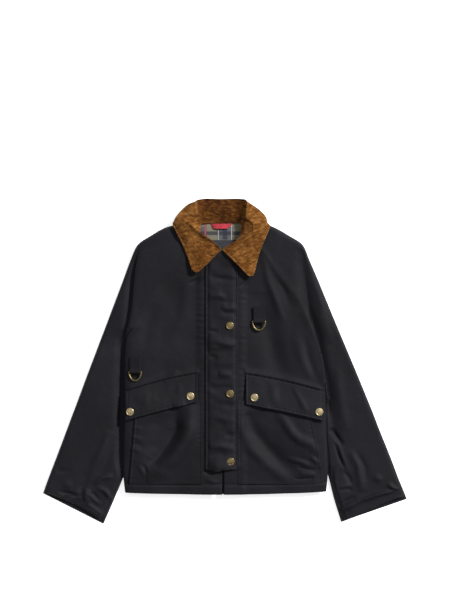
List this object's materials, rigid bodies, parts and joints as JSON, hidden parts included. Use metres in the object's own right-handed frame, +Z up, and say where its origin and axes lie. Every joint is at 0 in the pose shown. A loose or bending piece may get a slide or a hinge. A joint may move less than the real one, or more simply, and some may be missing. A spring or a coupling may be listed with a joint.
{
  "type": "corduroy-collared jacket",
  "caption": "Cropped raglan-sleeved cotton jacket laid flat, with a corduroy collar, storm fly, flapped patch pockets and two swinging D-rings.",
  "frame": {"origin": "on the underside of the back, where the jacket lies on the surface, at the middle of its overall width and length", "axes": "+X to the wearer's left, +Y from the hem towards the collar, +Z up from the surface that the jacket lies on"},
  "size_m": [0.7984, 0.7134, 0.0373],
  "materials": {
    "cloth": "smooth dark navy-charcoal cotton with a soft dry sheen",
    "corduroy": "tan-brown fine corduroy pile, darker where the nap is crushed",
    "brass": "antique brass, brushed, worn brighter at the rims",
    "lining": "plain-woven cotton in a slate, olive and cream check",
    "label": "bare dark slate woven patch",
    "loop": "red woven tape",
    "zip": "black zip tape",
    "webbing": "black ribbed webbing"
  },
  "bodies": {
    "jacket": {"back": "cloth", "front_right": "cloth", "front_left": "cloth", "sleeve_front_right": "cloth", "sleeve_back_right": "cloth", "sleeve_front_left": "cloth", "sleeve_back_left": "cloth", "pocket_right": "cloth", "pocket_left": "cloth", "flap_right": "cloth", "flap_left": "cloth", "collar": "corduroy", "zip": "zip", "storm_fly": "cloth", "snap_fly_top": "brass", "snap_fly_middle": "brass", "snap_fly_bottom": "brass", "snap_flap_right_centre": "brass", "snap_flap_right_side": "brass", "snap_flap_left_centre": "brass", "snap_flap_left_side": "brass", "tab_chest": "webbing", "tab_side": "webbing", "lining": "lining", "label": "label", "hanger_loop": "loop"},
    "dring_chest": {"dring_chest": "brass"},
    "dring_side": {"dring_side": "brass"}
  },
  "joints": [
    {"name": "chest_ring_swing", "type": "hinge", "parent": "jacket", "child": "dring_chest", "pos_m": [0.0742, 0.08848, 0.02019], "axis": [-1, 0, 0], "range_deg": [0, 150]},
    {"name": "side_ring_swing", "type": "hinge", "parent": "jacket", "child": "dring_side", "pos_m": [-0.19591, -0.02152, 0.02624], "axis": [-0.9742, 0.0005, -0.2255], "range_deg": [0, 150]}
  ]
}
